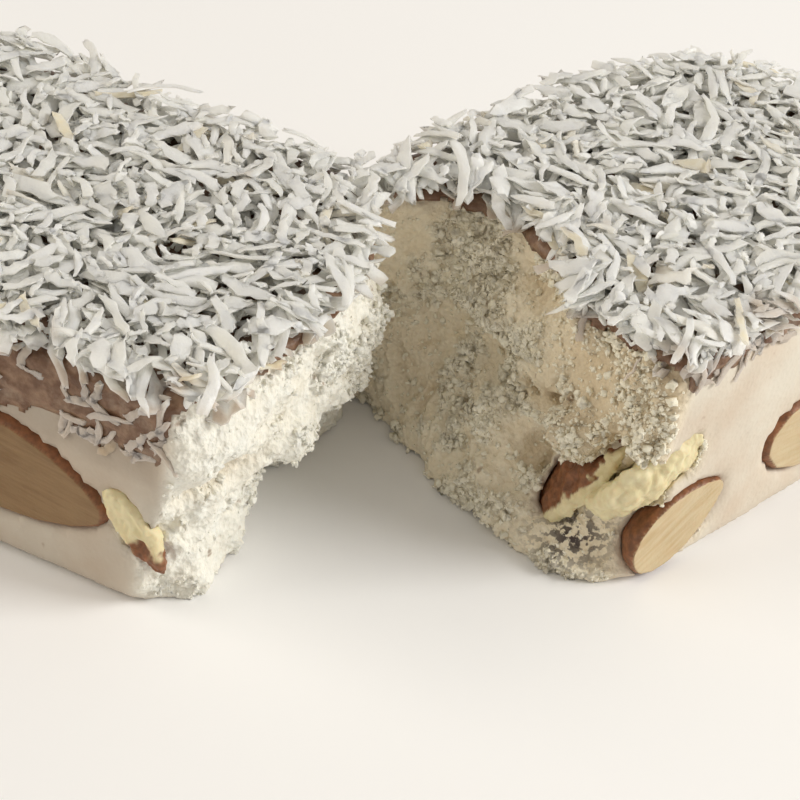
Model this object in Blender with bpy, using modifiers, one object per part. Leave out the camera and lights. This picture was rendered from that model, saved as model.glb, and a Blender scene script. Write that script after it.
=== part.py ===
"""A nougat bar with chocolate, coconut and almonds, torn open across the middle.

The bar is described straight, as it was before it was torn. Distances along it are
measured from the tear ("out", towards the end of each half) and from the hinge line
near its back face ("fore", towards the front). The last step turns each half about the
hinge, so that the tear opens to the front and a thin web still joins the two halves.
"""
import math

import bmesh
import bpy
from mathutils import Matrix, Vector, noise

MM = 0.001

# Driving dimensions
BAR_WIDTH = 39.6 * MM
NOUGAT_HEIGHT = 23.6 * MM
LENGTH = {"left": 56.0 * MM, "right": 47.0 * MM}
END_RADIUS = {"left": 9.0 * MM, "right": 12.0 * MM}
END_TAPER = {"left": 0.0, "right": 4.5 * MM}
HALF_TURN = math.radians(34.0)
HINGE_FROM_BACK = 1.7 * MM
WEB_FRONT = 0.4 * MM
EDGE_RADIUS = 1.5 * MM
CHOCOLATE = 0.8 * MM
COCONUT = 2.1 * MM
GAP = 0.3 * MM

BACK = -HINGE_FROM_BACK
FRONT = BAR_WIDTH - HINGE_FROM_BACK
SIGN = {"left": -1, "right": 1}
SIDES = ("left", "right")

# How far the tear face lies from the hinge plane, as (fore, out) in millimetres, at
# four heights. A half with a negative value reaches past the hinge plane.
TEAR_HEIGHTS = (0.0, 8.0 * MM, 12.0 * MM, NOUGAT_HEIGHT)
TEAR = {
    "left": (
        ((0.4, -1.2), (6, -3.0), (10, -1.9), (12.5, -0.9), (15, 2.0), (18, 2.6), (22, -1.6), (28, -3.6), (34, -3.0),
         (38, 1.7)),
        ((0.4, -1.2), (5, -4.2), (9.5, -4.5), (12.5, -2.4), (16, 0.8), (19, 0.8), (22.5, -2.6), (28, -3.2), (38, 0.6)),
        ((0.4, -1.2), (5, -5.2), (10, -7.4), (17, -7.0), (22, -6.0), (30, -4.4), (38, -1.2)),
        ((0.4, 0.0), (5, -4.2), (10, -6.2), (17, -6.3), (28, -5.3), (33, -2.7), (38, -1.5)),
    ),
    "right": (
        ((0.4, 0.2), (3, 0.8), (11, -0.7), (20, -2.6), (28, -1.8), (34, -0.6), (38, 3.6)),
        ((0.4, -0.4), (4, 0.8), (9, 2.4), (14, 2.0), (20, 1.2), (24, 2.6), (28, 4.6), (33, 4.4), (38, 6.0)),
        ((0.4, -0.4), (4, 1.5), (8, 4.6), (12, 6.4), (18, 5.0), (24, 4.2), (31, 2.8), (38, 4.6)),
        ((0.4, 0.2), (3, 2.6), (6, 7.2), (11, 10.0), (17, 8.6), (24, 7.6), (31, 4.8), (38, 6.2)),
    ),
}
TEAR_ROUGHNESS = 0.6 * MM


def ease(share):
    """0 to 1 with a gentle start and end."""
    share = min(1.0, max(0.0, share))
    return share * share * (3 - 2 * share)


def through(knots, fore):
    """The smooth line through knots, in metres, at a distance fore."""
    fore /= MM
    if fore <= knots[0][0]:
        return knots[0][1] * MM
    for (f0, out0), (f1, out1) in zip(knots, knots[1:]):
        if fore <= f1:
            return (out0 + (out1 - out0) * ease((fore - f0) / (f1 - f0))) * MM
    return knots[-1][1] * MM


def tear_face(side, fore, height):
    """Where the tear face of a half lies, at a distance fore and a height."""
    outs = [through(knots, fore) for knots in TEAR[side]]
    for k, (low, high) in enumerate(zip(TEAR_HEIGHTS, TEAR_HEIGHTS[1:])):
        if height <= high or high == NOUGAT_HEIGHT:
            out = outs[k] + (outs[k + 1] - outs[k]) * ease((height - low) / (high - low))
            break
    rough = noise.noise(Vector((fore, height, SIGN[side] * 0.05)) / (3.2 * MM))
    return out + TEAR_ROUGHNESS * rough * ease((fore - WEB_FRONT) / (3 * MM))


def tear_shift(side, out, fore, height):
    """How far a point close behind the tear face moves along with the face."""
    share = max(0.0, 1 - out / (22 * MM)) * ease((fore - WEB_FRONT) / (2 * MM))
    return tear_face(side, max(fore, WEB_FRONT), height) * share


def top_swell(out, fore):
    """How much the top of the bar rises and falls along it."""
    return (0.35 * math.sin(out / (7.5 * MM) + 1.0) + 0.3 * math.cos(fore / (6.0 * MM) + out / (16 * MM))) * MM


def side_swell(out, height):
    """How much the cut sides bow in and out."""
    return (0.22 * math.sin(out / (8.0 * MM)) + 0.18 * math.cos(height / (5.0 * MM) + out / (12 * MM))) * MM


def grown(value, grow, low, high):
    """Moves a distance outwards by grow where it is close to low or high."""
    reach = 5 * MM
    if low is not None:
        value -= grow * max(0.0, 1 - (value - low) / reach)
    if high is not None:
        value += grow * max(0.0, 1 - (high - value) / reach)
    return value


def in_plan(side, out, fore, grow):
    """Rounds the corners at the end of a half, tapers it and grows it by grow."""
    out = grown(out, grow, None, LENGTH[side])
    fore = grown(fore, grow, BACK, FRONT)
    radius = END_RADIUS[side] + grow
    beyond = (out - (LENGTH[side] + grow - radius)) / radius
    for edge, inward in ((BACK - grow, 1), (FRONT + grow, -1)):
        across = inward * (edge + inward * radius - fore) / radius
        if beyond > 1e-6 and across > 1e-6:
            pull = max(beyond, across) / math.hypot(beyond, across)
            out = LENGTH[side] + grow - radius + beyond * pull * radius
            fore = edge + inward * radius - inward * across * pull * radius
    narrowing = END_TAPER[side] * (max(0.0, out) / LENGTH[side]) ** 1.3
    return out, fore + narrowing * (FRONT - fore) / BAR_WIDTH


def turned(side, out, fore, height):
    """The point after its half has turned about the hinge. The web turns bit by bit."""
    share = 1.0
    if fore < WEB_FRONT:
        spread = 5 * MM * (WEB_FRONT - fore) / (WEB_FRONT - BACK)
        share = min(1.0, max(0.0, out) / spread)
    angle = SIGN[side] * HALF_TURN * share
    x, y = SIGN[side] * out, -fore
    return Vector((
        x * math.cos(angle) - y * math.sin(angle),
        x * math.sin(angle) + y * math.cos(angle),
        height,
    ))


def levels(start, stop, step):
    """Evenly spaced values from start to stop, about step apart."""
    count = max(1, round((stop - start) / step))
    return [start + (stop - start) * i / count for i in range(count + 1)]


def columns(side):
    """Distances out along a half's flat top, closer together at its rounded corners."""
    corner = LENGTH[side] - END_RADIUS[side]
    return levels(0, corner, 6.5 * MM) + levels(corner, LENGTH[side] - EDGE_RADIUS, 2.9 * MM)[1:]


def rows():
    """Distances fore along the flat top, from the web to the front."""
    return levels(WEB_FRONT, FRONT - EDGE_RADIUS, 2.6 * MM)


def torn_sheet(outs, fores):
    """A flat sheet for both halves, slit along the tear as far as the web.

    A vertex holds (signed distance out, fore, 0), and its layer "side" is -1, 0 or 1.
    """
    marks = [-x for x in reversed(outs["left"][1:])] + outs["right"]
    across, along = len(marks) - 1, len(fores) - 1
    sheet = bmesh.new()
    bmesh.ops.create_grid(sheet, x_segments=across, y_segments=along, size=1)
    for v in sheet.verts:
        i = round((v.co.x + 1) / 2 * across)
        j = round((v.co.y + 1) / 2 * along)
        v.co = Vector((marks[i], fores[along - j], 0))
    slit = [
        e for e in sheet.edges
        if all(abs(v.co.x) < 1e-9 and v.co.y > WEB_FRONT - 1e-6 for v in e.verts)
    ]
    bmesh.ops.split_edges(sheet, edges=slit)
    sides = sheet.verts.layers.int.new("side")
    for v in sheet.verts:
        middle = sum(f.calc_center_median().x for f in v.link_faces) / len(v.link_faces)
        shared = abs(v.co.x) < 1e-9 and len({f.calc_center_median().x > 0 for f in v.link_faces}) == 2
        v[sides] = 0 if shared else (1 if middle > 0 else -1)
    return sheet


def side_of(number):
    return "left" if number < 0 else "right"


def add_object(name, mesh_source, parent=None):
    """Turns a bmesh into a named object under the bar's empty or a half's empty."""
    mesh = bpy.data.meshes.new(name)
    mesh_source.to_mesh(mesh)
    mesh_source.free()
    obj = bpy.data.objects.new(name, mesh)
    parts.objects.link(obj)
    obj.parent = parent or bar
    return obj


def finish_mesh(obj, colour, roughness, angle=35):
    """Shades the object smooth below the angle and gives it a material of its own."""
    material = bpy.data.materials.new(obj.name)
    material.use_nodes = True
    shader = material.node_tree.nodes["Principled BSDF"]
    shader.inputs["Base Color"].default_value = (*colour, 1)
    shader.inputs["Roughness"].default_value = roughness
    shader.inputs["Metallic"].default_value = 0.0
    obj.data.materials.append(material)
    obj.data.shade_smooth()
    obj.data.set_sharp_from_angle(angle=math.radians(angle))


def make_nougat():
    """The body: one solid, from the left end through the web to the right end."""
    outs = {s: columns(s) + [LENGTH[s]] for s in SIDES}
    fores = [BACK] + rows() + [FRONT]
    r, h = EDGE_RADIUS, NOUGAT_HEIGHT
    heights = [0, 0.3 * r, r, 4.5 * MM, 8 * MM, 12 * MM, 17 * MM, h - r, h - 0.3 * r, h]
    solid = torn_sheet(outs, fores)
    floor = list(solid.faces)
    for v in solid.verts:
        v.co.z = h
    for height in reversed(heights[:-1]):
        made = bmesh.ops.extrude_face_region(solid, geom=floor)["geom"]
        if height != heights[-2]:
            bmesh.ops.delete(solid, geom=floor, context="FACES")
        floor = [g for g in made if isinstance(g, bmesh.types.BMFace)]
        for v in {v for f in floor for v in f.verts}:
            v.co.z = height
    sides = solid.verts.layers.int["side"]
    for v in solid.verts:
        side, height, near_top = side_of(v[sides] or v.co.x), v.co.z, v.co.z / h
        from_edge = min(height, h - height)
        inset = r - math.sqrt(max(0.0, r * r - max(0.0, r - from_edge) ** 2))
        out, fore = in_plan(side, abs(v.co.x), v.co.y, side_swell(v.co.x, height) - inset)
        if v[sides] and abs(v.co.x) < 1e-9:
            out = tear_face(side, fore, height)
        else:
            out += tear_shift(side, out, fore, height)
        v.co = turned(side, out, fore, height + top_swell(SIGN[side] * out, fore) * near_top ** 2)
    bmesh.ops.recalc_face_normals(solid, faces=solid.faces)
    if solid.calc_volume(signed=True) < 0:
        bmesh.ops.reverse_faces(solid, faces=solid.faces)
    return add_object("nougat", solid)


def folded(side, out, fore, lift, last_fold, run_to):
    """Lays a point of a flat sheet over the bar, a distance lift off its surface.

    A point that lies past the flat top runs over the rounded edge and down the side. One
    that lies past last_fold is on the sheet's rim and goes as far as run_to.
    """
    radius, r = END_RADIUS[side], EDGE_RADIUS + lift
    centre_out = LENGTH[side] - radius
    past_end = out - centre_out
    if fore > (BACK + FRONT) / 2:
        corner, past_side, facing = FRONT - radius, fore - (FRONT - radius), 1
    else:
        corner, past_side, facing = BACK + radius, (BACK + radius) - fore, -1
    away = max(past_end, past_side)
    if past_end > 0 and past_side > 0:
        direction = Vector((past_end, facing * past_side)).normalized()
        base = Vector((centre_out, corner))
    elif past_end > past_side:
        direction, base = Vector((1, 0)), Vector((centre_out, fore))
    else:
        direction, base = Vector((0, facing)), Vector((out, corner))
    run = away - (radius - EDGE_RADIUS)
    if run > last_fold + 0.1 * MM:
        run = run_to
    height = NOUGAT_HEIGHT + lift
    if run <= 0:
        reach = away
    elif run < r * math.pi / 2:
        reach = radius - EDGE_RADIUS + r * math.sin(run / r)
        height -= r * (1 - math.cos(run / r))
    else:
        reach = radius + lift
        height -= r + (run - r * math.pi / 2)
    if away > 1e-9:
        out, fore = base + direction * (reach + side_swell(SIGN[side] * out, height) * ease(run / r))
    narrowing = END_TAPER[side] * (max(0.0, out) / LENGTH[side]) ** 1.3
    fore += narrowing * (FRONT - fore) / BAR_WIDTH
    swell = top_swell(SIGN[side] * out, fore) * (min(height, NOUGAT_HEIGHT) / NOUGAT_HEIGHT) ** 2
    return out, fore, height + swell


def make_coat(name, lift, thickness, folds, run_of, overhang):
    """A layer over the top of the bar that runs over its edges.

    folds are the distances past the flat top at which the sheet has a row of points. Its
    rim goes as far as run_of gives for a side, a distance out and "front" or another face.
    """
    bend, rim = EDGE_RADIUS, folds[-1] + 2 * MM
    outs = {s: columns(s) + [LENGTH[s] - bend + x for x in (*folds, rim)] for s in SIDES}
    front_edge, back_edge = FRONT - bend, BACK + bend
    fores = [back_edge - x for x in (rim, *reversed(folds))] + [back_edge]
    fores += rows() + [front_edge + x for x in (*folds, rim)]
    sheet = torn_sheet(outs, fores)
    sides = sheet.verts.layers.int["side"]
    for v in sheet.verts:
        side = side_of(v[sides] or v.co.x)
        out, fore = abs(v.co.x), v.co.y
        where = "front" if fore > front_edge and out < LENGTH[side] - END_RADIUS[side] else "other"
        out, fore, height = folded(side, out, fore, lift, folds[-1], run_of(side, out, where))
        if v[sides] and abs(v.co.x) < 1e-9:
            out = tear_face(side, fore, min(height, NOUGAT_HEIGHT)) - overhang
        else:
            out += tear_shift(side, out, fore, NOUGAT_HEIGHT)
        v.co = turned(side, out, fore, height)
    coat = add_object(name, sheet)
    shell = coat.modifiers.new("Thickness", "SOLIDIFY")
    shell.thickness = thickness
    shell.offset = 1
    return coat


def chocolate_run(side, out, where):
    """The chocolate runs down the left half's front and only just over the edge elsewhere."""
    wave = 0.5 + 0.5 * math.sin(out / (4.1 * MM) + 2 * SIGN[side])
    if side == "left" and where == "front":
        return (5.6 + 1.5 * wave) * MM
    return (3.3 + 0.9 * wave) * MM


def coconut_run(side, out, where):
    """The coconut stops on the rounded edge."""
    return (2.2 + 0.7 * math.sin(out / (2.9 * MM))) * MM


def almond(length, width, thickness):
    """A whole almond along X: blunt at -X, pointed at +X, width along Y."""
    body = bmesh.new()
    bmesh.ops.create_uvsphere(
        body, u_segments=12, v_segments=8, radius=1, matrix=Matrix.Rotation(math.pi / 2, 4, "Y"))
    for v in body.verts:
        along = v.co.x
        girth = 1 - 0.22 * along - 0.16 * max(0.0, along) ** 2
        v.co = Vector((along * length / 2, v.co.y * girth * width / 2, v.co.z * girth * thickness / 2))
    return body


def keep_below(body, point, normal):
    """Cuts off what lies beyond a plane and closes the cut."""
    cut = bmesh.ops.bisect_plane(
        body, geom=list(body.verts) + list(body.edges) + list(body.faces),
        plane_co=point, plane_no=normal, clear_outer=True)
    rim = [g for g in cut["geom_cut"] if isinstance(g, bmesh.types.BMEdge)]
    bmesh.ops.holes_fill(body, edges=rim)
    bmesh.ops.recalc_face_normals(body, faces=body.faces)


def axes_matrix(centre, along, across_hint):
    """The placing of an almond: X along, Y as near across_hint as it can be."""
    x = Vector(along).normalized()
    z = x.cross(Vector(across_hint)).normalized()
    y = z.cross(x)
    turn = Matrix((x, y, z)).transposed().to_4x4()
    return Matrix.Translation(Vector(centre)) @ turn


def bar_vector(side, out, fore, height):
    """A place or a direction of a half as a vector of the straight bar, from millimetres."""
    return Vector((SIGN[side] * out, -fore, height)) * MM


# The almonds: side, centre (out, fore, height), direction of the pointed end, the way the
# width faces, size, the face of the bar that cuts it, and for a half nut the way its flat
# inner side faces. All in millimetres.
ALMONDS = {
    "almond_front_left": (
        "left", (15.4, 36.4, 10.2), (-1, 0.05, -0.14), (0, 0, 1), (21.8, 10.6, 7.8), "front", None),
    "almond_front_left_outer": (
        "left", (38.4, 36.6, 13.4), (1, 0, 0.25), (0, 0, 1), (19.0, 9.6, 8.0), "front", None),
    "almond_splinter": (
        "left", (1.9, 37.2, 8.5), (-0.65, 0, -0.76), (0, 1, 0), (9.5, 3.6, 2.8), "front", None),
    "almond_front_right_corner": (
        "right", (9.0, 38.2, 4.9), (0.9, 0, 0.42), (0, 0, 1), (12.4, 7.4, 8.0), "front", None),
    "almond_front_right": (
        "right", (28.7, 36.2, 7.8), (1, 0, -0.1), (0, 0, 1), (17.0, 9.0, 7.6), "front", None),
    "almond_split_upper": (
        "right", (5.8, 29.8, 8.2), (0.37, 0.38, 0.85), (-0.75, 0.66, 0), (17.0, 8.4, 4.6), "front",
        (0.56, 0.64, -0.53)),
    "almond_split_lower": (
        "right", (7.6, 34.6, 12.2), (0.8, 0.14, 0.57), (-0.56, 0.54, 0.62), (16.0, 7.4, 6.0), "front",
        (-0.14, -0.81, 0.57)),
    "almond_back_left": (
        "left", (16.5, -1.6, 9.5), (1, 0, 0.3), (0, 0, 1), (20.0, 9.8, 7.6), "back", None),
    "almond_back_left_outer": (
        "left", (38.0, -1.2, 13.0), (-1, 0, 0.2), (0, 0, 1), (19.0, 8.6, 7.8), "back", None),
    "almond_back_right": (
        "right", (24.5, -0.2, 12.5), (1, 0.14, -0.35), (0, 0, 1), (20.8, 10.0, 7.6), "back", None),
    "almond_end_left": (
        "left", (55.0, 17.5, 9.0), (0, 1, 0.18), (0, 0, 1), (20.0, 9.8, 7.8), "end", None),
    "almond_end_right": (
        "right", (46.2, 19.5, 11.0), (0, -1, 0.3), (0, 0, 1), (16.0, 8.8, 7.4), "end", None),
}


def bar_face(side, face):
    """A point on a cut face of the straight bar and its outward normal."""
    if face == "front":
        return Vector((0, -FRONT, 0)), Vector((0, -1, 0))
    if face == "back":
        tapered = Matrix.Rotation(-SIGN[side] * END_TAPER[side] / LENGTH[side] * 1.1, 3, "Z")
        return Vector((0, -BACK, 0)), tapered @ Vector((0, 1, 0))
    return Vector((SIGN[side] * LENGTH[side], 0, 0)), Vector((SIGN[side], 0, 0))


def add_cutter(name, body, place, parent):
    """A helper solid that is cut out of the nougat and isn't part of the bar."""
    mesh = bpy.data.meshes.new(name)
    bmesh.ops.recalc_face_normals(body, faces=body.faces)
    body.to_mesh(mesh)
    body.free()
    cutter = bpy.data.objects.new(name, mesh)
    cutters.objects.link(cutter)
    cutter.parent = parent
    cutter.matrix_local = place
    cutter.hide_render = True
    cutter.display_type = "WIRE"


def make_almond(name, side, centre, along, facing, size, face, inner):
    """An almond cut flush with a face of the bar, and the pocket that it sits in."""
    length, width, thickness = (x * MM for x in size)
    place = axes_matrix(bar_vector(side, *centre), bar_vector(side, *along), bar_vector(side, *facing))
    back = place.inverted()
    body = almond(length, width, thickness)
    pocket = almond(length + 2 * GAP, width + 2 * GAP, thickness + 2 * GAP)
    if inner:
        flat = (back.to_3x3() @ bar_vector(side, *inner)).normalized()
        keep_below(body, Vector(), flat)
        keep_below(pocket, flat * GAP, flat)
    point, normal = bar_face(side, face)
    keep_below(body, back @ (point - normal * 0.05 * MM), (back.to_3x3() @ normal).normalized())
    nut = add_object(name, body, halves[side])
    nut.matrix_local = place
    finish_mesh(nut, (0.80, 0.68, 0.45) if inner else (0.78, 0.62, 0.40), 0.55)
    add_cutter("pocket_" + name, pocket, place, halves[side])


def cut_pockets(nougat):
    """Cuts the almonds' pockets out of the nougat."""
    cut = nougat.modifiers.new("Almond pockets", "BOOLEAN")
    cut.operation = "DIFFERENCE"
    cut.operand_type = "COLLECTION"
    cut.collection = cutters
    cut.solver = "EXACT"
    cut.use_self = True


def centre_on_base():
    """Moves the bar so that its base is at height 0 and its bounding box is centred."""
    bpy.context.view_layer.update()
    graph = bpy.context.evaluated_depsgraph_get()
    corners = []
    for obj in parts.objects:
        if obj.type == "MESH":
            shown = obj.evaluated_get(graph)
            corners += [shown.matrix_world @ v.co for v in shown.data.vertices]
    low = Vector(min(c[k] for c in corners) for k in range(3))
    high = Vector(max(c[k] for c in corners) for k in range(3))
    middle = (low + high) / 2
    bar.location = (-middle.x, -middle.y, -low.z)


for old in list(bpy.data.objects):
    bpy.data.objects.remove(old, do_unlink=True)
parts = bpy.data.collections.new("nougat bar")
cutters = bpy.data.collections.new("cutters")
for group in (parts, cutters):
    bpy.context.scene.collection.children.link(group)
bar = bpy.data.objects.new("bar", None)
parts.objects.link(bar)
halves = {}
for side_name in SIDES:
    empty = bpy.data.objects.new(side_name + "_half", None)
    parts.objects.link(empty)
    empty.parent = bar
    empty.rotation_euler.z = SIGN[side_name] * HALF_TURN
    halves[side_name] = empty

body = make_nougat()
finish_mesh(body, (0.88, 0.83, 0.72), 0.75)
chocolate = make_coat("chocolate", GAP, CHOCOLATE, (1.4 * MM, 2.8 * MM), chocolate_run, 0.2 * MM)
finish_mesh(chocolate, (0.22, 0.11, 0.055), 0.4)
coconut = make_coat("coconut", GAP + CHOCOLATE + 1.5 * GAP, COCONUT, (1.1 * MM,), coconut_run, 0.6 * MM)
finish_mesh(coconut, (0.83, 0.83, 0.78), 0.65)
for almond_name, values in ALMONDS.items():
    make_almond(almond_name, *values)
cut_pockets(body)
centre_on_base()
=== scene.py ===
import math
import random

import bmesh
import bpy
import numpy as np
from mathutils import Matrix, Vector, noise
from mathutils.bvhtree import BVHTree


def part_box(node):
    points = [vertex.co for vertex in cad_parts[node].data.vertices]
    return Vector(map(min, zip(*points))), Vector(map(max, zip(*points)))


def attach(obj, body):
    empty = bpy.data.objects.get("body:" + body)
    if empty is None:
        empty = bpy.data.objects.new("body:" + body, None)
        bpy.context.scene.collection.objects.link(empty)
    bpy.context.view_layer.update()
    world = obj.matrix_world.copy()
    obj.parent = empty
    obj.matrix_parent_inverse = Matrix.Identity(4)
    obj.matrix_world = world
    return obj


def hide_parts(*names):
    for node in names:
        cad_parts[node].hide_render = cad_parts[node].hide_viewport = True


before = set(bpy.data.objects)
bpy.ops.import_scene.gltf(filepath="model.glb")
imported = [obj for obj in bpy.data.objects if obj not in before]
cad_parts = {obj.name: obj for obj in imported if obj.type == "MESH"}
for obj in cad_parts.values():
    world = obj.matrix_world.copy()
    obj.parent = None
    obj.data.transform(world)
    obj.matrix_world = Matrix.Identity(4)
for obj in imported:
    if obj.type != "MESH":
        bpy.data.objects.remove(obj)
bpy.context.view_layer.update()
print("frame loaded")

mm = 0.001

# The bar is two halves turned about a hinge. "out" runs from the tear to a half's end,
# "fore" from the back face to the front.
bar = {"hinge": (0.004762, 0.001354), "turn": math.radians(34), "front": 37.9 * mm,
       "length": {"left": 56 * mm, "right": 47 * mm}}


def alongHalf(points):
    # Gives each point's side (-1 left, 1 right), out, fore and height.
    points = np.asarray(points, float)
    x = points[:, 0] - bar["hinge"][0]
    y = points[:, 1] - bar["hinge"][1]
    divide = np.clip(-y / (8 * mm), 0, 1) * 3 * mm
    side = np.where(x > divide, 1, -1)
    c, s = math.cos(bar["turn"]), math.sin(bar["turn"])
    out = side * x * c + y * s
    fore = side * x * s - y * c
    return side, out, fore, points[:, 2]


def place(side, out, fore, height):
    c, s = math.cos(bar["turn"]), math.sin(bar["turn"])
    return Vector((bar["hinge"][0] + side * (out * c + fore * s),
                   bar["hinge"][1] + out * s - fore * c, height))


def step(low, high, value):
    share = np.clip((value - low) / (high - low), 0, 1)
    return share * share * (3 - 2 * share)


def coordinates(mesh):
    co = np.empty(len(mesh.vertices) * 3)
    mesh.vertices.foreach_get("co", co)
    return co.reshape(-1, 3)


def normals(mesh):
    values = np.empty(len(mesh.vertices) * 3, dtype=np.float32)
    mesh.vertex_normals.foreach_get("vector", values)
    return values.reshape(-1, 3).astype(float)


def moveTo(mesh, co):
    mesh.vertices.foreach_set("co", np.asarray(co, float).ravel())
    mesh.update()


def spread(mesh, values, rounds):
    # Averages a value over each vertex's neighbours.
    edges = np.empty(len(mesh.edges) * 2, dtype=np.int32)
    mesh.edges.foreach_get("vertices", edges)
    a, b = edges.reshape(-1, 2).T
    values = np.array(values, float)
    count = np.bincount(a, minlength=len(values)) + np.bincount(b, minlength=len(values)) + 1.0
    flat = values.reshape(len(values), -1)
    for _ in range(rounds):
        total = flat.copy()
        for k in range(flat.shape[1]):
            total[:, k] += np.bincount(a, flat[b, k], len(flat)) + np.bincount(b, flat[a, k], len(flat))
        flat = total / count[:, None]
    return flat.reshape(values.shape)


def noiseAt(points, size, offset=0.0, octaves=1):
    shift = Vector((offset, offset * 1.7, -offset))
    if octaves == 1:
        return np.array([noise.noise(Vector(p) / size + shift) for p in points])
    return np.array([noise.fractal(Vector(p) / size + shift, 0.9, 2.1, octaves) for p in points])


def lumpsAt(points, size, offset=0.0):
    # High in the middle of a lump, low in the creases between lumps.
    shift = Vector((offset, -offset, offset * 0.6))
    return np.array([0.55 - noise.voronoi(Vector(p) / size + shift)[0][0] for p in points])


def storeValue(mesh, name, values):
    layer = mesh.attributes.new(name, "FLOAT", "POINT")
    layer.data.foreach_set("value", np.asarray(values, np.float32))


def addPiece(name, mesh, material, replaced):
    piece = bpy.data.objects.new(name, mesh)
    bpy.context.scene.collection.objects.link(piece)
    mesh.materials.clear()
    mesh.materials.append(material)
    mesh.shade_smooth()
    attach(piece, "root")
    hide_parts(*replaced)


def remeshed(sources, voxel, smoothing=0):
    # One even skin round the given meshes.
    joined = bmesh.new()
    for mesh in sources:
        joined.from_mesh(mesh)
    mesh = bpy.data.meshes.new("remesh")
    joined.to_mesh(mesh)
    joined.free()
    helper = bpy.data.objects.new("remesh", mesh)
    bpy.context.scene.collection.objects.link(helper)
    remesh = helper.modifiers.new("Remesh", "REMESH")
    remesh.mode = "VOXEL"
    remesh.voxel_size = voxel
    if smoothing:
        soften = helper.modifiers.new("Smooth", "SMOOTH")
        soften.iterations = smoothing
        soften.factor = 0.5
    graph = bpy.context.evaluated_depsgraph_get()
    graph.update()
    made = bpy.data.meshes.new_from_object(helper.evaluated_get(graph))
    bpy.data.objects.remove(helper)
    return made


def nodesOf(name):
    material = bpy.data.materials.new(name)
    material.use_nodes = True
    tree = material.node_tree
    shader = tree.nodes["Principled BSDF"]
    coords = tree.nodes.new("ShaderNodeTexCoord")
    return material, tree, shader, coords.outputs["Object"]


def addNoise(tree, coords, scale, detail=3.0, roughness=0.55):
    texture = tree.nodes.new("ShaderNodeTexNoise")
    texture.inputs["Scale"].default_value = scale
    texture.inputs["Detail"].default_value = detail
    texture.inputs["Roughness"].default_value = roughness
    tree.links.new(coords, texture.inputs["Vector"])
    return texture.outputs["Fac"]


def addCells(tree, coords, scale):
    texture = tree.nodes.new("ShaderNodeTexVoronoi")
    texture.inputs["Scale"].default_value = scale
    tree.links.new(coords, texture.inputs["Vector"])
    return texture.outputs["Distance"]


def addRamp(tree, value, *stops):
    ramp = tree.nodes.new("ShaderNodeValToRGB")
    elements = ramp.color_ramp.elements
    while len(elements) < len(stops):
        elements.new(0.5)
    for element, (position, colour) in zip(elements, stops):
        element.position = position
        element.color = (*colour, 1)
    tree.links.new(value, ramp.inputs["Fac"])
    return ramp.outputs["Color"]


def addMix(tree, share, first, second):
    mix = tree.nodes.new("ShaderNodeMix")
    mix.data_type = "RGBA"
    for socket, value in ((mix.inputs["Factor"], share), (mix.inputs["A"], first), (mix.inputs["B"], second)):
        if isinstance(value, bpy.types.NodeSocket):
            tree.links.new(value, socket)
        elif isinstance(value, (int, float)):
            socket.default_value = value
        else:
            socket.default_value = (*value, 1)
    return mix.outputs["Result"]


def addMath(tree, operation, first, second):
    node = tree.nodes.new("ShaderNodeMath")
    node.operation = operation
    for socket, value in zip(node.inputs, (first, second)):
        if isinstance(value, bpy.types.NodeSocket):
            tree.links.new(value, socket)
        else:
            socket.default_value = value
    return node.outputs["Value"]


def addBump(tree, shader, height, strength, distance):
    bump = tree.nodes.new("ShaderNodeBump")
    bump.inputs["Strength"].default_value = strength
    bump.inputs["Distance"].default_value = distance
    tree.links.new(height, bump.inputs["Height"])
    tree.links.new(bump.outputs["Normal"], shader.inputs["Normal"])


def readValue(tree, name, output="Fac"):
    attribute = tree.nodes.new("ShaderNodeAttribute")
    attribute.attribute_name = name
    return attribute.outputs[output]


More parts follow.
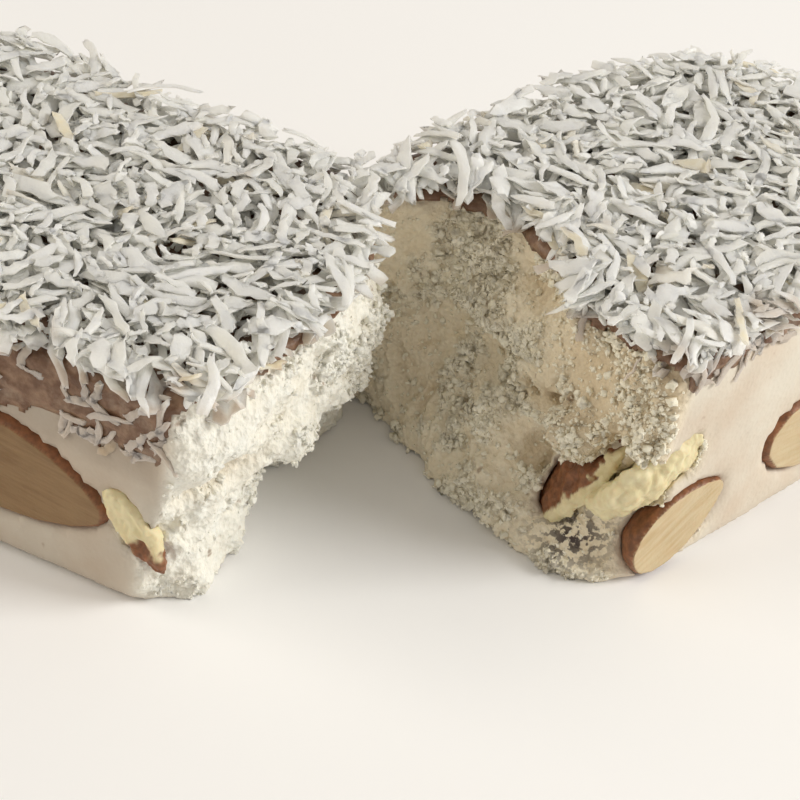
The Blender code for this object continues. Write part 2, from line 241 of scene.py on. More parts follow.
# Nougat: white, knife-cut on its sides and base, crumbly and porous where it tore.
# Each relief on a torn face is placed by fore and height, with its half sizes, all in mm.
# A positive push stands out of the face, and crumble says how loose the crumb is there.
nougat = {"voxel": 0.86 * mm, "cut": (0.74, 0.68, 0.57), "cutWarm": (0.66, 0.55, 0.43),
          "crumb": (0.97, 0.91, 0.74), "crumbWhite": (0.91, 0.90, 0.82), "mottle": (0.86, 0.79, 0.64),
          "smooth": (0.90, 0.79, 0.59), "deep": (0.56, 0.43, 0.26), "stain": (0.30, 0.17, 0.09),
          "grime": (0.07, 0.05, 0.045), "smear": (0.34, 0.275, 0.215),
          "tongue": {"fore": 25.2 * mm, "half": 2.1 * mm, "reach": 3.4 * mm, "from": 19 * mm}}
reliefs = [
    {"side": 1, "at": (17, 20.3), "size": (3.6, 1.6), "push": -2.0, "crumble": 0},
    {"side": 1, "at": (9.5, 19.4), "size": (2.6, 1.6), "push": 1.3, "crumble": 1},
    {"side": 1, "at": (13, 15.6), "size": (4.2, 2.4), "push": 1.9, "crumble": 1},
    {"side": 1, "at": (12.6, 11.6), "size": (1.8, 1.2), "push": 1.0, "crumble": 1},
    {"side": 1, "at": (7.6, 8.6), "size": (3.2, 5.0), "push": -0.9, "crumble": -1},
    {"side": 1, "at": (10.6, 5.6), "size": (0.55, 2.2), "push": -0.8, "crumble": -0.3},
    {"side": 1, "at": (14.8, 7.0), "size": (0.6, 2.4), "push": -1.1, "crumble": -0.3},
    {"side": 1, "at": (16.4, 14.4), "size": (2.6, 0.35), "push": -1.1, "crumble": 0},
    {"side": 1, "at": (22.4, 16.2), "size": (4.0, 2.6), "push": 0.7, "crumble": 0.1},
    {"side": 1, "at": (19.4, 9.4), "size": (1.2, 2.6), "push": 1.3, "crumble": 1},
    {"side": 1, "at": (21.4, 12.2), "size": (1.1, 0.5), "push": -1.8, "crumble": 0},
    {"side": 1, "at": (24.6, 13.4), "size": (1.5, 0.7), "push": -2.3, "crumble": 0},
    {"side": 1, "at": (24.0, 10.8), "size": (2.2, 1.0), "push": 1.2, "crumble": 1},
    {"side": 1, "at": (25.6, 7.6), "size": (2.0, 1.4), "push": -2.2, "crumble": -0.5},
    {"side": 1, "at": (28.0, 12.4), "size": (2.3, 1.4), "push": 2.6, "crumble": 1},
    {"side": 1, "at": (30.2, 10.2), "size": (1.0, 1.3), "push": 1.6, "crumble": 1},
    {"side": 1, "at": (33.4, 11.2), "size": (1.7, 2.2), "push": -2.6, "crumble": -0.2},
    {"side": 1, "at": (34.6, 16.6), "size": (1.8, 1.6), "push": 1.1, "crumble": 1},
    {"side": 1, "at": (22.5, 2.6), "size": (4.0, 1.8), "push": 0.6, "crumble": 1},
    {"side": 1, "at": (34.4, 1.2), "size": (2.4, 1.2), "push": 0.9, "crumble": 0.8},
    {"side": -1, "at": (33, 18.6), "size": (5.4, 3.8), "push": 2.2, "crumble": -0.9},
    {"side": -1, "at": (31, 12.6), "size": (5.0, 1.3), "push": -2.4, "crumble": 0.4},
    {"side": -1, "at": (22, 12.0), "size": (3.4, 1.6), "push": 0.9, "crumble": 1},
    {"side": -1, "at": (14, 17.5), "size": (3.0, 2.2), "push": 0.8, "crumble": 1},
    {"side": -1, "at": (8, 15.0), "size": (2.0, 2.6), "push": 0.7, "crumble": 1},
    {"side": -1, "at": (33, 5.0), "size": (3.0, 3.6), "push": 0.4, "crumble": -0.8}]


def pullTongue(mesh):
    # A flap of the top that stayed on the right half and hangs over its torn face.
    tongue = nougat["tongue"]
    co = coordinates(mesh)
    side, out, fore, height = alongHalf(co)
    share = np.exp(-((fore - tongue["fore"]) / tongue["half"]) ** 2) * step(tongue["from"], 23 * mm, height)
    share *= step(16 * mm, 5 * mm, out) * (side > 0)
    co[:, 0] -= share * tongue["reach"] * math.cos(bar["turn"])
    co[:, 1] -= share * tongue["reach"] * math.sin(bar["turn"])
    moveTo(mesh, co)


def reliefAt(side, fore, height):
    push, crumble = np.zeros(len(fore)), np.zeros(len(fore))
    for item in reliefs:
        du = (fore / mm - item["at"][0]) / item["size"][0]
        dv = (height / mm - item["at"][1]) / item["size"][1]
        share = np.exp(-(du * du + dv * dv) ** 1.5) * (side == item["side"])
        push += share * item["push"]
        crumble += share * item["crumble"]
    return push, crumble


skin = remeshed([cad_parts["nougat"].data], nougat["voxel"], 2)
pullTongue(skin)
base = coordinates(skin)
baseNormals = spread(skin, normals(skin), 2)
side, out, fore, height = alongHalf(base)
c, s = math.cos(bar["turn"]), math.sin(bar["turn"])
facing = side * baseNormals[:, 0] * c + baseNormals[:, 1] * s
torn = step(-0.2, -0.55, facing) * step(14 * mm, 12 * mm, out) * step(-1 * mm, 1.5 * mm, fore)
torn = np.clip(spread(skin, torn, 2) * 1.2, 0, 1)
plain = skin.copy()
storeValue(skin, "torn", torn)

fine = bmesh.new()
fine.from_mesh(skin)
tornLayer = fine.verts.layers.float["torn"]
dense = [e for e in fine.edges if all(v[tornLayer] > 0.3 for v in e.verts)]
bmesh.ops.subdivide_edges(fine, edges=dense, cuts=3, use_grid_fill=True)
fine.to_mesh(skin)
fine.free()
co = coordinates(skin)
torn = np.empty(len(co), np.float32)
skin.attributes["torn"].data.foreach_get("value", torn)
facingOut = spread(skin, normals(skin), 4)
facingOut /= np.linalg.norm(facingOut, axis=1)[:, None] + 1e-9
side, out, fore, height = alongHalf(co)
rough = torn > 0.02
push = noiseAt(co, 3.5 * mm, 3.0) * 0.12 * mm + noiseAt(co, 1.1 * mm, 9.0) * 0.04 * mm
picked = co[rough]
warped = picked + np.stack([noiseAt(picked, 3 * mm, 60.0 + k) for k in range(3)], axis=1) * 1.3 * mm
_, _, warpedFore, warpedHeight = alongHalf(warped)
reliefPush, reliefCrumble = reliefAt(side[rough], warpedFore, warpedHeight)
loose = np.clip(step(-0.3, 0.45, noiseAt(picked, 5 * mm, 8.0, 2)) + reliefCrumble, 0.05, 1.2)
coarse = noiseAt(picked, 4.6 * mm, 1.0, 3)
clumps = lumpsAt(warped, 2.1 * mm, 5.0)
crumbs = lumpsAt(warped, 0.85 * mm, 2.0)
grit = noiseAt(picked, 0.42 * mm, 4.0, 2)
fluff = loose * (1.25 * clumps + 0.75 * crumbs + 0.2 * grit) + 0.08 * grit + 0.12 * crumbs
deep = reliefPush + 0.85 * coarse + fluff
push[rough] += torn[rough] * deep * mm
jitter = np.stack([noiseAt(picked, 0.8 * mm, 11.0 + k, 2) for k in range(3)], axis=1) * 0.3 * mm
co = co + facingOut * push[:, None]
co[rough] += jitter * (torn[rough] * (0.3 + 0.7 * np.minimum(loose, 1)))[:, None]
co[:, 2] = np.maximum(co[:, 2], 0.0)
pits, crumbly = np.zeros(len(co)), np.zeros(len(co))
# Painted shade: creases and hollows of the torn faces get the deep colour, darker where they sink further.
pits[rough] = np.clip(-(fluff + 0.45 * np.minimum(reliefPush, 0.6) + 0.2 * coarse) * 1.1, 0, 1) * torn[rough]
# Painted shade: an upper front patch of the right torn face is darkened as well.
pits += 1.4 * step(19 * mm, 28 * mm, fore) * step(7 * mm, 13 * mm, height) * (side > 0) * torn
crumbly[rough] = np.where(side[rough] > 0, np.clip(loose * 0.75 + crumbs * 0.5, 0, 1), 1.0)
moveTo(skin, co)
storeValue(skin, "pits", pits)
storeValue(skin, "crumbly", crumbly)
# Painted shade: the right half's torn face lies in shade and is marked here for the warmer, yellower crumb
# colour.
storeValue(skin, "warm", side > 0)
# A real smear on the upper band of the left front, above about 11.5 to 16.5 mm, below the chocolate that ran
# down.
smear = np.where(side < 0, step(11.5 * mm, 16.5 * mm, height + noiseAt(co, 3 * mm, 21.0) * 1.8 * mm), 0)
# Painted shade: most of the left front face, turned away from the key light, gets the smear colour at 0.6.
smear = np.maximum(smear, 0.6 * (side < 0) * step(56 * mm, 44 * mm, out))
smear = smear * step(35.5 * mm, 37 * mm, fore) * (1 - torn)
storeValue(skin, "smear", smear)
grime = np.exp(-((fore - 32 * mm) / (3.6 * mm)) ** 2 - ((height - 3.2 * mm) / (2.6 * mm)) ** 2) * (side > 0)
storeValue(skin, "grime", grime * torn)

nougatMaterial, tree, shader, coords = nodesOf("nougat")
cloud = addRamp(tree, addNoise(tree, coords, 130, 4), (0.35, (0, 0, 0)), (0.68, (1, 1, 1)))
body = addMix(tree, cloud, nougat["cut"], nougat["cutWarm"])
# Painted shade: the shaded right tear takes the yellow crumb colour, the lit left tear the whiter one.
loosened = addMix(tree, readValue(tree, "warm"), nougat["crumbWhite"], nougat["crumb"])
fracture = addMix(tree, readValue(tree, "crumbly"), nougat["smooth"], loosened)
mottle = addRamp(tree, addNoise(tree, coords, 420, 5), (0.35, (0, 0, 0)), (0.65, (0.4, 0.4, 0.4)))
fracture = addMix(tree, mottle, fracture, nougat["mottle"])
colour = addMix(tree, readValue(tree, "torn"), body, fracture)
# The deep colour is painted shade in the creases, hollows and the darkened patch of the torn faces.
colour = addMix(tree, addMath(tree, "MULTIPLY", readValue(tree, "pits"), 0.42), colour, nougat["deep"])
specks = addRamp(tree, addNoise(tree, coords, 520, 2, 0.4), (0.70, (0, 0, 0)), (0.76, (0.6, 0.6, 0.6)))
colour = addMix(tree, specks, colour, nougat["stain"])
soot = addRamp(tree, addNoise(tree, coords, 1500, 3, 0.5), (0.47, (0, 0, 0)), (0.54, (1, 1, 1)))
colour = addMix(tree, addMath(tree, "MULTIPLY", soot, readValue(tree, "grime")), colour, nougat["grime"])
# The smear colour is partly a real smear and partly painted shade on the left front face.
colour = addMix(tree, addMath(tree, "MULTIPLY", readValue(tree, "smear"), 0.7), colour, nougat["smear"])
tree.links.new(colour, shader.inputs["Base Color"])
shader.inputs["Roughness"].default_value = 0.72
shader.inputs["Subsurface Weight"].default_value = 0.2
shader.inputs["Subsurface Radius"].default_value = (1.0, 0.92, 0.82)
shader.inputs["Subsurface Scale"].default_value = 0.3 * mm
grain = addMath(tree, "ADD", addNoise(tree, coords, 1500, 4, 0.65),
                addMath(tree, "MULTIPLY", addCells(tree, coords, 2100), 0.8))
amount = addMath(tree, "ADD", addMath(tree, "MULTIPLY", readValue(tree, "torn"), 0.8), 0.2)
addBump(tree, shader, addMath(tree, "MULTIPLY", grain, amount), 0.7, 0.3 * mm)
addPiece("nougatBody", skin, nougatMaterial, ["nougat"])
print("nougat", sum(len(f.vertices) - 2 for f in skin.polygons))

# Crumbs: loose grains of nougat that cling to the torn faces.
crumb = {"seed": 21, "kinds": {"nougatCrumbs": {"count": 2300, "radius": (0.16, 0.46), "rounds": 2},
                               "nougatGrains": {"count": 8800, "radius": (0.09, 0.24), "rounds": 1}}}


def copiesOf(shape, count, name):
    # Joins many copies of one small mesh. Their points are moved afterwards.
    template = bpy.data.meshes.new(name)
    shape.to_mesh(template)
    shape.free()
    helper = bpy.data.objects.new(name, template)
    bpy.context.scene.collection.objects.link(helper)
    array = helper.modifiers.new("Array", "ARRAY")
    array.count = count
    array.use_relative_offset = False
    graph = bpy.context.evaluated_depsgraph_get()
    graph.update()
    made = bpy.data.meshes.new_from_object(helper.evaluated_get(graph))
    bpy.data.objects.remove(helper)
    made.name = name
    return made, coordinates(template)


seeds = np.random.default_rng(crumb["seed"])
weight = np.zeros(len(co))
weight[rough] = (torn[rough] > 0.6) * (np.maximum(loose - 0.3, 0.0) ** 1.3 + 0.05) * (side[rough] > 0)
weight[rough] += (torn[rough] > 0.6) * np.maximum(loose - 0.45, 0.02) * 0.5 * (side[rough] < 0)
for name, kind in crumb["kinds"].items():
    grainShape = bmesh.new()
    bmesh.ops.create_icosphere(grainShape, subdivisions=kind["rounds"], radius=1)
    mesh, unit = copiesOf(grainShape, kind["count"], name)
    chosen = seeds.choice(len(co), kind["count"], p=weight / weight.sum())
    low, high = kind["radius"]
    radius = (low + (high - low) * seeds.uniform(0, 1, kind["count"]) ** 1.8) * mm
    centres = co[chosen] + facingOut[chosen] * (radius * seeds.uniform(-0.3, 0.8, kind["count"]))[:, None]
    stretch = seeds.uniform(0.55, 1.4, (kind["count"], 1, 3))
    bumps = seeds.uniform(0.45, 1.35, (kind["count"], len(unit), 1))
    points = centres[:, None, :] + unit[None] * radius[:, None, None] * stretch * bumps
    points[:, :, 2] = np.maximum(points[:, :, 2], 0.02 * mm)
    moveTo(mesh, points.reshape(-1, 3))
    storeValue(mesh, "torn", np.ones(len(mesh.vertices)))
    storeValue(mesh, "crumbly", np.ones(len(mesh.vertices)))
    # Crumbs on the right half take the yellow crumb colour of its shaded torn face: painted shade.
    storeValue(mesh, "warm", np.repeat(side[chosen] > 0, len(unit)))
    storeValue(mesh, "grime", np.repeat(grime[chosen], len(unit)))
    addPiece(name, mesh, nougatMaterial, ["nougat"])
    print(name, len(mesh.polygons))

# Chocolate: a thin layer over the nougat's top, with a ragged smear down the left front.
chocolate = {"thick": 1.12 * mm, "colour": (0.15, 0.072, 0.036), "pale": (0.34, 0.215, 0.135),
             "thin": (0.48, 0.37, 0.27)}


def chocolateEdge(co):
    # The height down to which the chocolate reaches.
    side, out, fore, height = alongHalf(co)
    wave = noiseAt(co, 5 * mm, 31.0) * 1.8 * mm + noiseAt(co, 1.6 * mm, 33.0) * 1.1 * mm
    run = (side < 0) * step(33 * mm, 37 * mm, fore) * step(54 * mm, 40 * mm, out)
    return 22.5 * mm - run * 5.4 * mm + wave


upper = bmesh.new()
upper.from_mesh(plain)
above = [e for e in upper.edges if all(v.co.z > 13 * mm for v in e.verts) and
         any(abs(v.normal.z) < 0.85 for v in e.verts)]
bmesh.ops.subdivide_edges(upper, edges=above, cuts=1, use_grid_fill=True)
upper.to_mesh(plain)
upper.free()
baseNormals = spread(plain, normals(plain), 2)
layer = bmesh.new()
layer.from_mesh(plain)
co = coordinates(plain)
side, out, fore, height = alongHalf(co)
edge = chocolateEdge(co)
facing = side * baseNormals[:, 0] * c + baseNormals[:, 1] * s
tearing = step(-0.3, -0.7, facing) * (out < 14 * mm) * (fore > 0)
within = (height > edge) & ((baseNormals[:, 2] > 0.45) | (tearing < 0.3)) & (height > 15 * mm)
outward = baseNormals / (np.linalg.norm(baseNormals, axis=1)[:, None] + 1e-9)
upright = step(0.2, 0.8, baseNormals[:, 2])
thick = chocolate["thick"] * upright + (1 - upright) * np.clip((height - edge) / (2 * mm), 0.1, 1) * 0.4 * mm
thick += noiseAt(co, 1.4 * mm, 37.0) * 0.16 * mm + noiseAt(co, 3.2 * mm, 38.0) * 0.12 * mm
thick = np.maximum(thick, 0.05 * mm)
outwardLayer = layer.verts.layers.float_vector.new("outward")
layer.verts.ensure_lookup_table()
for v in layer.verts:
    v[outwardLayer] = Vector(outward[v.index]) * thick[v.index]
gone = [f for f in layer.faces if not all(within[v.index] for v in f.verts)]
bmesh.ops.delete(layer, geom=gone, context="FACES")
made = bmesh.ops.extrude_face_region(layer, geom=list(layer.faces))["geom"]
for v in (g for g in made if isinstance(g, bmesh.types.BMVert)):
    v.co += v[outwardLayer]
bmesh.ops.recalc_face_normals(layer, faces=layer.faces)
chocolateMesh = bpy.data.meshes.new("chocolateLayer")
layer.to_mesh(chocolateMesh)
layer.free()
chocolateMaterial, tree, shader, coords = nodesOf("chocolate")
bloom = addRamp(tree, addNoise(tree, coords, 700, 4), (0.42, (0, 0, 0)), (0.75, (1, 1, 1)))
colour = addMix(tree, bloom, chocolate["colour"], chocolate["pale"])
worn = addRamp(tree, addNoise(tree, coords, 330, 5, 0.6), (0.54, (0, 0, 0)), (0.72, (0.5, 0.5, 0.5)))
tree.links.new(addMix(tree, worn, colour, chocolate["thin"]), shader.inputs["Base Color"])
shader.inputs["Roughness"].default_value = 0.42
shader.inputs["Subsurface Weight"].default_value = 0.08
shader.inputs["Subsurface Scale"].default_value = 0.6 * mm
addBump(tree, shader, addNoise(tree, coords, 1500, 4), 0.6, 0.25 * mm)
addPiece("chocolateLayer", chocolateMesh, chocolateMaterial, ["chocolate"])
print("chocolate", len(chocolateMesh.polygons))

# Coconut: shreds laid one by one, each resting on what lies under it.
coconut = {"seed": 7, "cell": 0.25 * mm, "rings": 7, "kinds": {
    "coconutLong": {"count": 1300, "length": (4.6, 7.4), "width": (0.8, 1.4), "thick": (0.26, 0.42)},
    "coconutMedium": {"count": 2500, "length": (2.8, 5.0), "width": (0.8, 1.4), "thick": (0.26, 0.42)},
    "coconutBroad": {"count": 1100, "length": (3.0, 5.4), "width": (1.4, 2.3), "thick": (0.26, 0.4)},
    "coconutShort": {"count": 2500, "length": (1.1, 2.8), "width": (0.5, 1.1), "thick": (0.24, 0.4)}}}
dice = random.Random(coconut["seed"])
support = bmesh.new()
support.from_mesh(chocolateMesh)
support.from_mesh(skin)
ground = BVHTree.FromBMesh(support)
support.free()
low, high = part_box("coconut")
cell = coconut["cell"]
origin = np.array((low.x - 3 * mm, low.y - 3 * mm))
shape = (int((high.x - low.x + 6 * mm) / cell) + 1, int((high.y - low.y + 6 * mm) / cell) + 1)
pile = np.full(shape, -1.0)
for i in range(shape[0]):
    for j in range(shape[1]):
        hit = ground.ray_cast(Vector((origin[0] + i * cell, origin[1] + j * cell, 0.05)), Vector((0, 0, -1)))
        if hit[0] is not None and hit[0].z > 21.5 * mm:
            pile[i, j] = hit[0].z
floorLevel = pile.copy()
supported = np.argwhere(pile > 0)


def cellsOf(x, y):
    i = np.clip(((x - origin[0]) / cell).astype(int), 0, shape[0] - 1)
    j = np.clip(((y - origin[1]) / cell).astype(int), 0, shape[1] - 1)
    return i, j


def restingPlace(length, width):
    # Tries a few places and takes the lowest one that holds the shred's middle.
    best = None
    for _ in range(4):
        i, j = supported[dice.randrange(len(supported))]
        x, y, yaw = origin[0] + i * cell, origin[1] + j * cell, dice.uniform(0, math.pi)
        along = np.linspace(-length / 2, length / 2, 9)
        heights = np.full(9, -1.0)
        for lane in (-0.35 * width, 0.0, 0.35 * width):
            px = x + along * math.cos(yaw) - lane * math.sin(yaw)
            py = y + along * math.sin(yaw) + lane * math.cos(yaw)
            heights = np.maximum(heights, pile[cellsOf(px, py)])
        if (heights[2:7] < 0).any():
            continue
        left, right = heights[:5], heights[4:]
        sl, sr = along[:5], along[4:]
        bridge = None
        for a in range(5):
            for b in range(5):
                if left[a] < 0 or right[b] < 0 or sr[b] - sl[a] < 1e-9:
                    continue
                slope = (right[b] - left[a]) / (sr[b] - sl[a])
                middle = left[a] - slope * sl[a]
                if bridge is None or middle > bridge[0]:
                    bridge = (middle, slope)
        if bridge and (best is None or bridge[0] < best[0]):
            best = (bridge[0], max(-0.42, min(0.42, bridge[1])), x, y, yaw)
    return best


def shredShape():
    # A six-sided rod of unit size along Z, with rings for the bends.
    rod = bmesh.new()
    bmesh.ops.create_cone(rod, cap_ends=True, segments=6, radius1=0.5, radius2=0.5, depth=1)
    long = [e for e in rod.edges if abs(e.verts[0].co.z - e.verts[1].co.z) > 0.5]
    bmesh.ops.subdivide_edges(rod, edges=long, cuts=coconut["rings"] - 2)
    return rod


def shredPoints(rod, spot):
    # One shred: a thin uneven blade, bent, twisted and torn off at its ends.
    middle, slope, x, y, yaw, length, width, thick = spot
    t = np.sign(rod[:, 2]) * np.abs(2 * rod[:, 2]) ** 0.8
    ring = np.round((rod[:, 2] + 0.5) * (coconut["rings"] - 1)).astype(int)
    ends = np.where(t < 0, dice.uniform(0.42, 1.05), dice.uniform(0.35, 1.0))
    taper = 1 - (1 - ends) * np.abs(t) ** dice.uniform(1.2, 3.4)
    taper *= wild.uniform(0.78, 1.2, coconut["rings"])[ring]
    bend = dice.uniform(-0.16, 0.16) * length * (1 - t * t)
    bend += wild.uniform(-0.12, 0.12, coconut["rings"])[ring] * width
    arch = dice.uniform(-0.03, 0.06) * length * (1 - t * t)
    arch += wild.uniform(-0.1, 0.1, coconut["rings"])[ring] * width
    roll = dice.uniform(-0.4, 0.4) + t * dice.uniform(-0.55, 0.55)
    w = width * taper * rod[:, 0] * wild.uniform(0.75, 1.25, len(rod))
    h = thick * (0.5 + 0.5 * taper) * rod[:, 1] * wild.uniform(0.7, 1.3, len(rod))
    px = t * length / 2 + dice.uniform(-0.45, 0.45) * width * rod[:, 0] * t ** 3
    px += wild.uniform(-0.32, 0.32, len(rod)) * width * np.abs(t) ** 4
    py = bend + w * np.cos(roll) - h * np.sin(roll)
    pz = arch + w * np.sin(roll) + h * np.cos(roll) + thick * 0.42
    tilt = math.atan(slope)
    lx = px * math.cos(tilt) - pz * math.sin(tilt)
    lz = px * math.sin(tilt) + pz * math.cos(tilt)
    return np.stack([x + lx * math.cos(yaw) - py * math.sin(yaw), y + lx * math.sin(yaw) + py * math.cos(yaw),
                     middle - 0.08 * mm + lz], axis=-1)


wild = np.random.default_rng(coconut["seed"])
rodTemplate = bpy.data.meshes.new("rod")
rodShape = shredShape()
rodShape.to_mesh(rodTemplate)
rodShape.free()
rod = coordinates(rodTemplate)
shreds = {name: [] for name in coconut["kinds"]}
order = [name for name, kind in coconut["kinds"].items() for _ in range(kind["count"])]
dice.shuffle(order)
ceiling = high.z - 0.25 * mm
for name in order:
    kind = coconut["kinds"][name]
    length, width, thick = (dice.uniform(*kind[k]) * mm for k in ("length", "width", "thick"))
    found = restingPlace(length, width)
    if not found or found[0] + thick > ceiling:
        continue
    middle, slope, x, y, yaw = found
    _, _, foreNow, _ = alongHalf([(x, y, 0)])
    if (foreNow[0] > 35.8 * mm and dice.random() < 0.45) or (foreNow[0] < 1.2 * mm and dice.random() < 0.8):
        continue
    points = shredPoints(rod, (*found, length, width, thick))
    points[:, 2] = np.minimum(points[:, 2], high.z + 0.65 * mm)
    shreds[name].append((points, dice.random()))
    along = np.linspace(-length / 2, length / 2, 17)
    for lane in np.linspace(-0.5, 0.5, 7) * width:
        px = x + along * math.cos(yaw) - lane * math.sin(yaw)
        py = y + along * math.sin(yaw) + lane * math.cos(yaw)
        i, j = cellsOf(px, py)
        pile[i, j] = np.maximum(pile[i, j], middle + slope * along + thick * 0.62)

# A few shreds stick to the chocolate that ran down the front faces.
clinging = {"count": 130, "left": (15.5, 24.5), "right": (21.5, 24.5),
            "length": (1.6, 4.6), "width": (0.6, 1.2), "thick": (0.26, 0.4)}
for _ in range(clinging["count"]):
    half = -1 if dice.random() < 0.62 else 1
    bottom, top = clinging["left"] if half < 0 else clinging["right"]
    height = bottom + (top - bottom) * dice.random() ** 0.6
    spot = place(half, dice.uniform(-1, bar["length"]["left" if half < 0 else "right"] / mm - 9) * mm,
                 bar["front"] + 4 * mm, height * mm)
    towards = place(half, 0, 0, 0) - place(half, 0, 1, 0)
    hit = ground.ray_cast(spot, towards)
    if hit[0] is None:
        continue
    length, width, thick = (dice.uniform(*clinging[k]) * mm for k in ("length", "width", "thick"))
    points = shredPoints(rod, (0, 0, 0, 0, 0, length, width, thick))
    outwards = (-towards).normalized()
    sideways = outwards.cross(Vector((0, 0, 1)))
    lean = dice.uniform(0, math.pi)
    along = sideways * math.cos(lean) + Vector((0, 0, 1)) * math.sin(lean)
    basis = np.array([along, outwards.cross(along), outwards])
    shreds["coconutShort"].append((points @ basis + np.array(hit[0]), dice.random()))

coconutMaterial, tree, shader, coords = nodesOf("coconut")
tone = readValue(tree, "tone")
colour = addRamp(tree, tone, (0.0, (0.88, 0.87, 0.79)), (0.5, (0.93, 0.925, 0.86)),
                 (0.96, (0.96, 0.96, 0.91)), (0.99, (0.84, 0.72, 0.52)))
colour = addMix(tree, addRamp(tree, addNoise(tree, coords, 900, 3), (0.4, (0, 0, 0)), (0.8, (0.5, 0.5, 0.5))),
                colour, (0.86, 0.855, 0.79))
# The stain colour is partly painted shade on the lowest shreds in the gaps and partly real stain.
colour = addMix(tree, readValue(tree, "stain"), colour, (0.34, 0.20, 0.12))
tree.links.new(colour, shader.inputs["Base Color"])
shader.inputs["Roughness"].default_value = 0.42
shader.inputs["Subsurface Weight"].default_value = 0.75
shader.inputs["Subsurface Radius"].default_value = (1.0, 0.95, 0.85)
shader.inputs["Subsurface Scale"].default_value = 1.3 * mm
addBump(tree, shader, addNoise(tree, coords, 2600, 3, 0.6), 0.6, 0.14 * mm)


def joinShreds(name, items):
    mesh, unit = copiesOf(shredShape(), len(items), name)
    points = np.concatenate([p for p, _ in items])
    moveTo(mesh, points)
    storeValue(mesh, "tone", np.repeat([tone for _, tone in items], len(unit)))
    side, out, fore, height = alongHalf(points)
    i, j = cellsOf(points[:, 0], points[:, 1])
    above = points[:, 2] - np.where(floorLevel[i, j] > 0, floorLevel[i, j], 24.6 * mm)
    # Painted shade: shreds lying lowest, on the chocolate, down in the gaps between the upper shreds, are
    # tinted brown.
    stain = step(0.5 * mm, 0.0, above) * 0.6
    # Stain: brown patches at random, more of them along the front edge.
    stain = np.maximum(stain, step(0.55, 0.8, noiseAt(points, 4 * mm, 41.0) + 0.35 * (fore > 35 * mm)) * 0.5)
    storeValue(mesh, "stain", stain)
    return mesh


for name in coconut["kinds"]:
    mesh = joinShreds(name, shreds[name])
    addPiece(name, mesh, coconutMaterial, ["coconut"])
    mesh.set_sharp_from_angle(angle=math.radians(50))
    print(name, len(shreds[name]), sum(len(f.vertices) - 2 for f in mesh.polygons))

# Almonds: tan flesh where the knife went through, with a thin brown skin round it.
almond = {"voxel": 0.2 * mm, "skin": (0.16, 0.062, 0.024),
          # Painted shade: the left almonds sit on the shaded front face and get a much darker copy of the
          # flesh colour.
          "tan": ((0.27, 0.165, 0.072), (0.20, 0.11, 0.042)),
          "fresh": ((0.62, 0.50, 0.31), (0.54, 0.39, 0.20)),
          "pale": ((0.78, 0.70, 0.44), (0.70, 0.58, 0.32))}


def almondMaterial(name, flesh, other, skinColour):
    material, tree, shader, coords = nodesOf(name)
    grain = readValue(tree, "grain", "Vector")
    stretch = tree.nodes.new("ShaderNodeMapping")
    stretch.inputs["Scale"].default_value = (180, 1500, 700)
    tree.links.new(grain, stretch.inputs["Vector"])
    streaks = addNoise(tree, stretch.outputs["Vector"], 1.0, 4, 0.6)
    colour = addMix(tree, addRamp(tree, streaks, (0.38, (0, 0, 0)), (0.66, (1, 1, 1))), flesh, other)
    patches = addRamp(tree, addNoise(tree, coords, 260, 3), (0.4, (0, 0, 0)), (0.7, (0.6, 0.6, 0.6)))
    colour = addMix(tree, patches, colour, tuple(min(1, v * 1.12) for v in flesh))
    wrinkles = addRamp(tree, addNoise(tree, coords, 1500, 4), (0.35, (0, 0, 0)), (0.7, (1, 1, 1)))
    skinTone = addMix(tree, wrinkles, skinColour, tuple(v * 2.0 for v in skinColour))
    colour = addMix(tree, readValue(tree, "skin"), colour, skinTone)
    tree.links.new(colour, shader.inputs["Base Color"])
    shader.inputs["Roughness"].default_value = 0.5
    shader.inputs["Subsurface Weight"].default_value = 0.12
    shader.inputs["Subsurface Scale"].default_value = 1.0 * mm
    addBump(tree, shader, addMath(tree, "ADD", streaks, addNoise(tree, coords, 2600, 3)), 0.35, 0.15 * mm)
    return material


def storeGrain(mesh, co):
    centre = co.mean(axis=0)
    _, _, axes = np.linalg.svd(co - centre, full_matrices=False)
    grain = (co - centre) @ axes.T
    layer = mesh.attributes.new("grain", "FLOAT_VECTOR", "POINT")
    layer.data.foreach_set("vector", grain.astype(np.float32).ravel())


def cutFace(mesh):
    largest = max(mesh.polygons, key=lambda f: f.area)
    return np.array(largest.center), np.array(largest.normal)


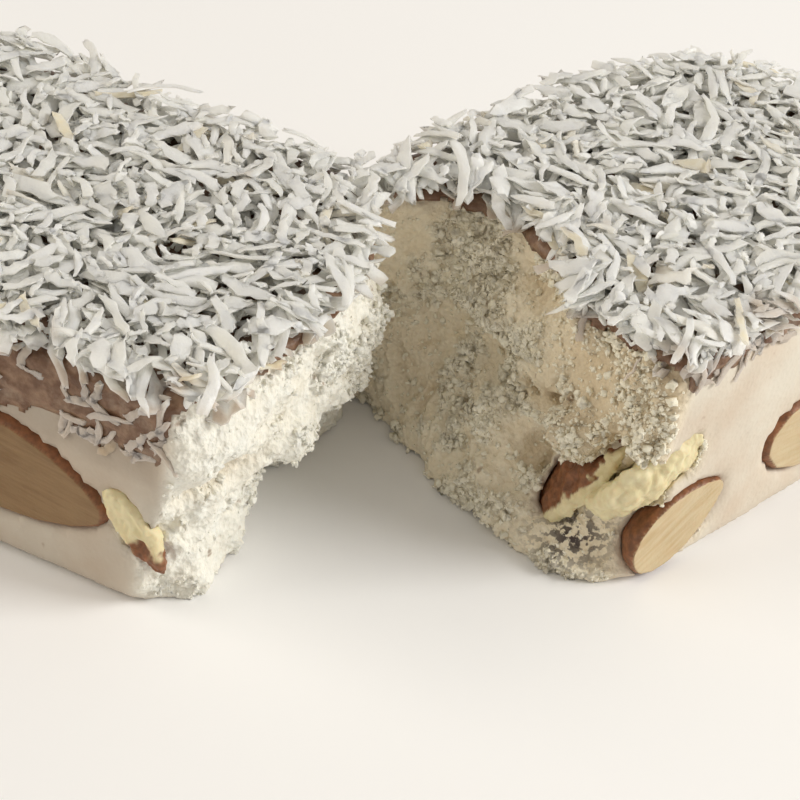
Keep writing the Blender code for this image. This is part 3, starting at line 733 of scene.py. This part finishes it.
almondMaterials = {tone: almondMaterial("almond" + tone.capitalize(), *almond[tone], almond["skin"])
                   for tone in ("tan", "fresh", "pale")}
for node in sorted(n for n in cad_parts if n.startswith("almond")):
    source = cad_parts[node].data
    merged = bmesh.new()
    merged.from_mesh(source)
    bmesh.ops.remove_doubles(merged, verts=merged.verts, dist=0.005 * mm)
    bmesh.ops.dissolve_limit(merged, angle_limit=math.radians(1), verts=merged.verts, edges=merged.edges)
    whole = bpy.data.meshes.new("whole")
    merged.to_mesh(whole)
    merged.free()
    point, normal = cutFace(whole)
    mesh = remeshed([whole], almond["voxel"], 3)
    co = coordinates(mesh)
    around = spread(mesh, normals(mesh), 5)
    around /= np.linalg.norm(around, axis=1)[:, None] + 1e-9
    depth = (co - point) @ normal
    onCut = step(-0.45 * mm, -0.2 * mm, depth)
    grow = (1 - onCut)[:, None] * 0.24 * mm
    co = co + around * grow
    flat = (point + normal * 0.12 * mm - co) @ normal
    co = co + normal * (flat * onCut)[:, None]
    skinShare = 1 - step(0.62, 0.9, spread(mesh, onCut, 3))
    broken = node in ("almond_split_upper", "almond_split_lower", "almond_splinter")
    if broken:
        # Broken almonds show rough pale flesh, and the skin stays only where it was not torn off.
        height = co[:, 2]
        ragged = noiseAt(co, 1.5 * mm, 53.0, 3)
        if node == "almond_split_upper":
            skinShare = step(-1.0 * mm, -1.2 * mm, depth + ragged * 0.5 * mm)
        elif node == "almond_split_lower":
            skinShare = step(0.3 * mm, -0.3 * mm, height - 6.4 * mm + ragged * 0.9 * mm)
            skinShare = skinShare * step(-0.2, -0.5, around @ normal)
        else:
            skinShare = step(0.4 * mm, -0.4 * mm, height - 7.2 * mm + ragged * 1.2 * mm)
        co = co + around * (ragged * 0.45 * mm)[:, None]
    moveTo(mesh, co)
    storeGrain(mesh, co)
    storeValue(mesh, "skin", skinShare)
    words = node.split("_")
    name = words[0] + "".join(w.capitalize() for w in words[1:])
    # Left almonds take the darker flesh colour as painted shade; the right almonds keep the lit one.
    tone = "pale" if broken else "fresh" if "right" in node else "tan"
    addPiece(name, mesh, almondMaterials[tone], [node])
print("almonds done")

# Camera, lights and floor
view = {"target": (0.0109, 0.00004, -0.0002), "azimuth": math.radians(-12.07),
        "elevation": math.radians(38.705), "roll": math.radians(6.828), "distance": 0.31512, "lens": 142.85}
ahead = Vector((-math.sin(view["azimuth"]) * math.cos(view["elevation"]),
                math.cos(view["azimuth"]) * math.cos(view["elevation"]), -math.sin(view["elevation"])))
right = ahead.cross(Vector((0, 0, 1))).normalized()
up = right.cross(ahead)
across = right * math.cos(view["roll"]) + up * math.sin(view["roll"])
upward = up * math.cos(view["roll"]) - right * math.sin(view["roll"])
camera = bpy.data.objects.new("camera", bpy.data.cameras.new("camera"))
bpy.context.scene.collection.objects.link(camera)
camera.matrix_world = Matrix.Translation(Vector(view["target"]) - ahead * view["distance"]) @ Matrix(
    (across, upward, -ahead)).transposed().to_4x4()
camera.data.lens = view["lens"]
camera.data.sensor_width = 36
camera.data.clip_start = 0.01
bpy.context.scene.camera = camera

lights = {"key": {"from": (0.66, -0.16, 0.44), "size": 0.34, "power": 4.6, "colour": (1.0, 0.985, 0.955)},
          "fill": {"from": (-0.8, 0.1, 0.5), "size": 0.7, "power": 4.0, "colour": (1.0, 0.93, 0.82)}}
for name, item in lights.items():
    lamp = bpy.data.lights.new(name, "AREA")
    lamp.size = item["size"]
    lamp.energy = item["power"]
    lamp.color = item["colour"]
    holder = bpy.data.objects.new(name, lamp)
    holder.location = item["from"]
    holder.rotation_euler = (-Vector(item["from"])).to_track_quat("-Z", "Y").to_euler()
    bpy.context.scene.collection.objects.link(holder)
world = bpy.data.worlds.new("studio")
world.use_nodes = True
world.node_tree.nodes["Background"].inputs["Color"].default_value = (1.0, 0.94, 0.86, 1)
world.node_tree.nodes["Background"].inputs["Strength"].default_value = 0.4
bpy.context.scene.world = world
bpy.context.scene.view_settings.view_transform = "Standard"

floorMesh = bpy.data.meshes.new("floor")
plane = bmesh.new()
bmesh.ops.create_grid(plane, x_segments=1, y_segments=1, size=3)
plane.to_mesh(floorMesh)
plane.free()
floor = bpy.data.objects.new("floor", floorMesh)
floor.location.z = -0.05 * mm
bpy.context.scene.collection.objects.link(floor)
floorMaterial, tree, shader, coords = nodesOf("floor")
shader.inputs["Base Color"].default_value = (0.95, 0.95, 0.95, 1)
shader.inputs["Roughness"].default_value = 0.9
floorMesh.materials.append(floorMaterial)
